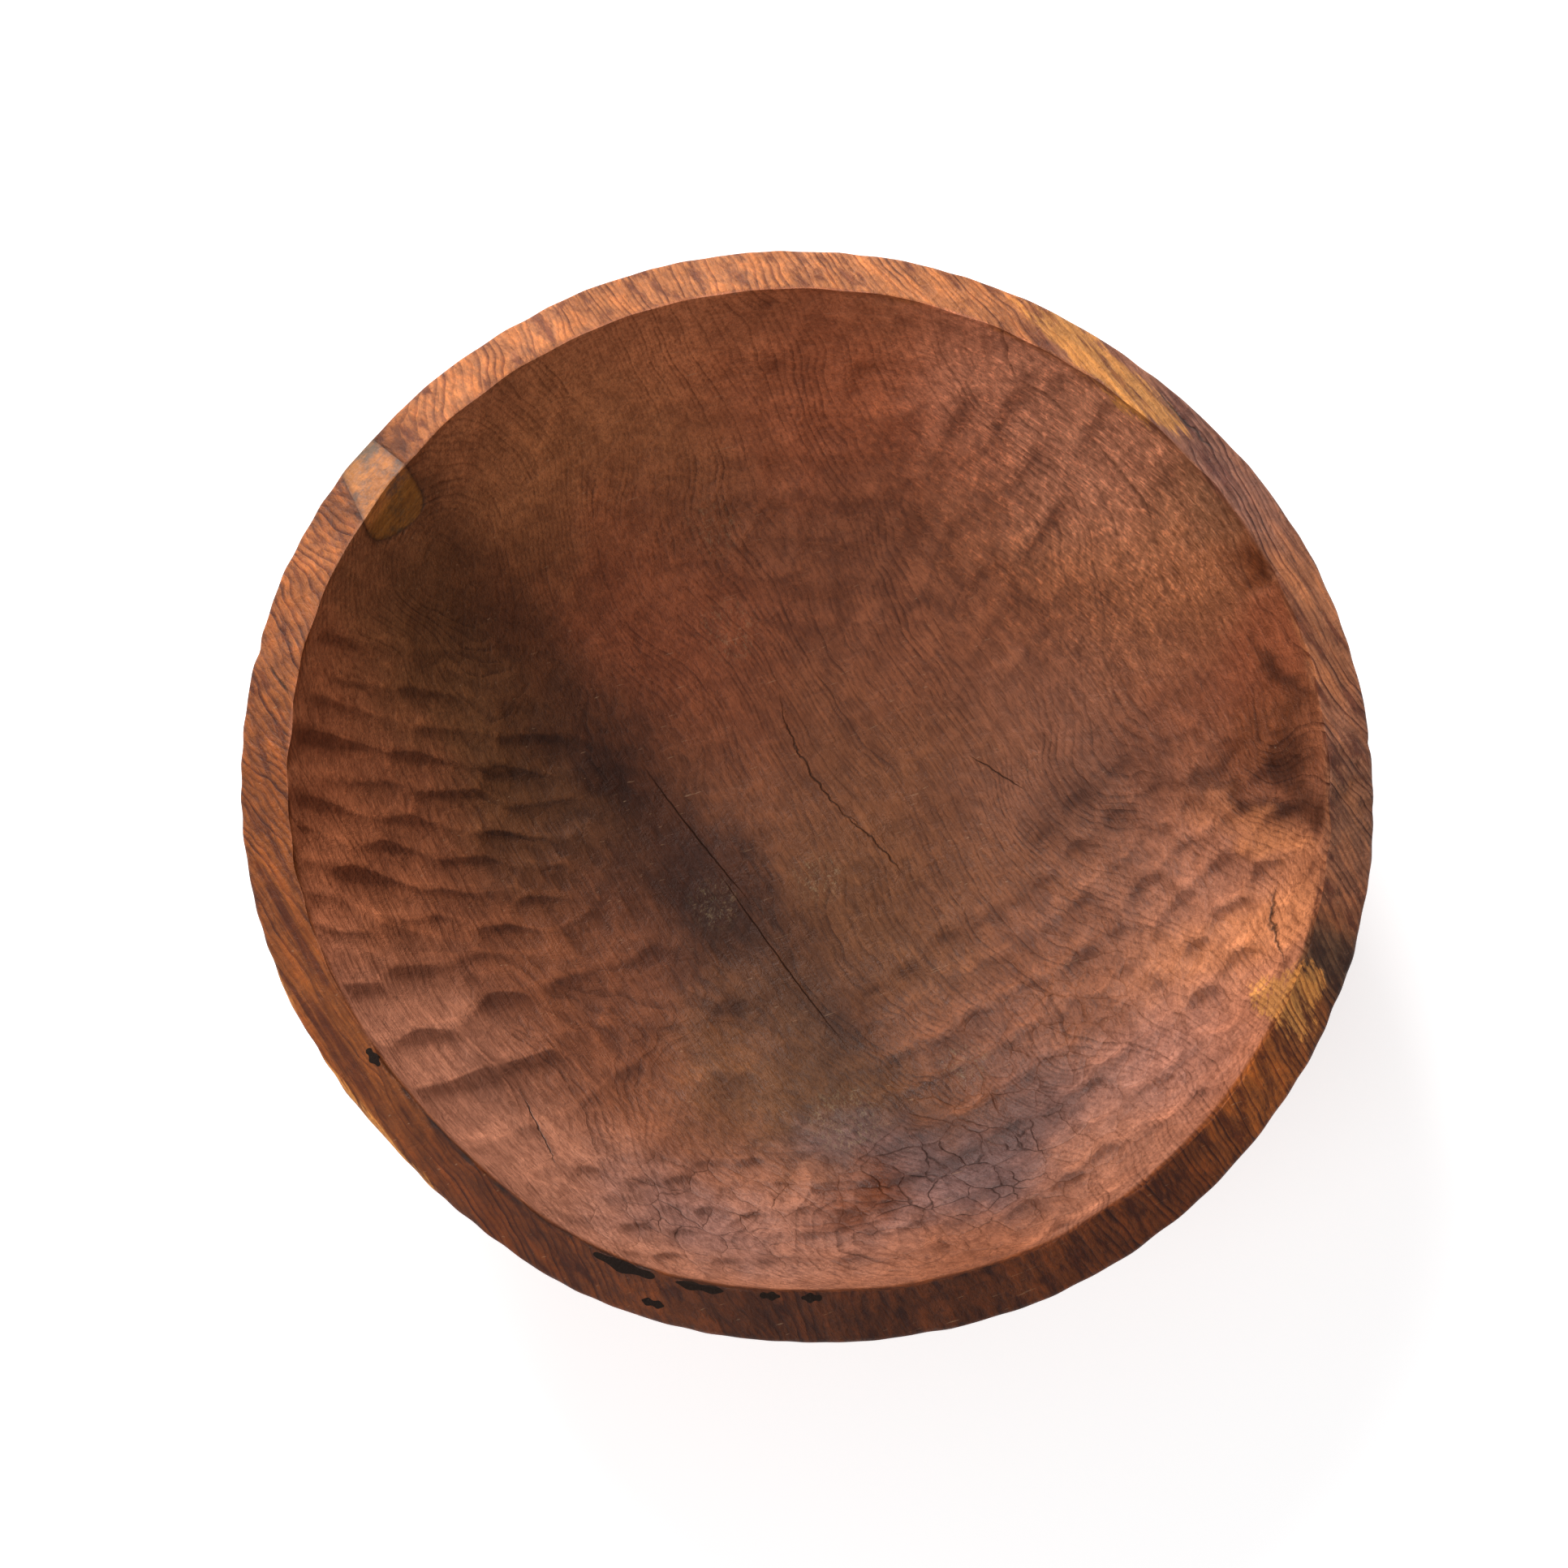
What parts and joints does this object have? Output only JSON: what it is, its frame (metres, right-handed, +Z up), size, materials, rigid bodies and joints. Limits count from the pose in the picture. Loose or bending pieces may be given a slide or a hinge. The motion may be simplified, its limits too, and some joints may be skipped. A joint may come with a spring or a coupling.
{
  "type": "hewn wooden bowl",
  "caption": "Wide thick-walled bowl hewn from one block of reddish hardwood, with a sloping flat rim, a let-in rim patch and dark-filled cracks.",
  "frame": {"origin": "centre of the flat foot's underside, where the bowl stands", "axes": "+Z up out of the mouth, +X to the right and +Y away in the widest view, with the grain running from upper left to lower right as seen from above"},
  "size_m": [0.5023, 0.5009, 0.155],
  "materials": {
    "bowl_wood": "hand-cut, oiled, satin",
    "patch_wood": "hand-cut, oiled, satin",
    "dark_filler": "rough, matt"
  },
  "bodies": {
    "root": {"bowl_body": "bowl_wood", "rim_patch": "patch_wood", "long_crack_filler": "dark_filler", "short_crack_filler": "dark_filler", "left_spot_filler": "dark_filler", "right_spot_filler": "dark_filler", "band_spot_filler": "dark_filler", "notch_filler": "dark_filler"}
  },
  "joints": []
}
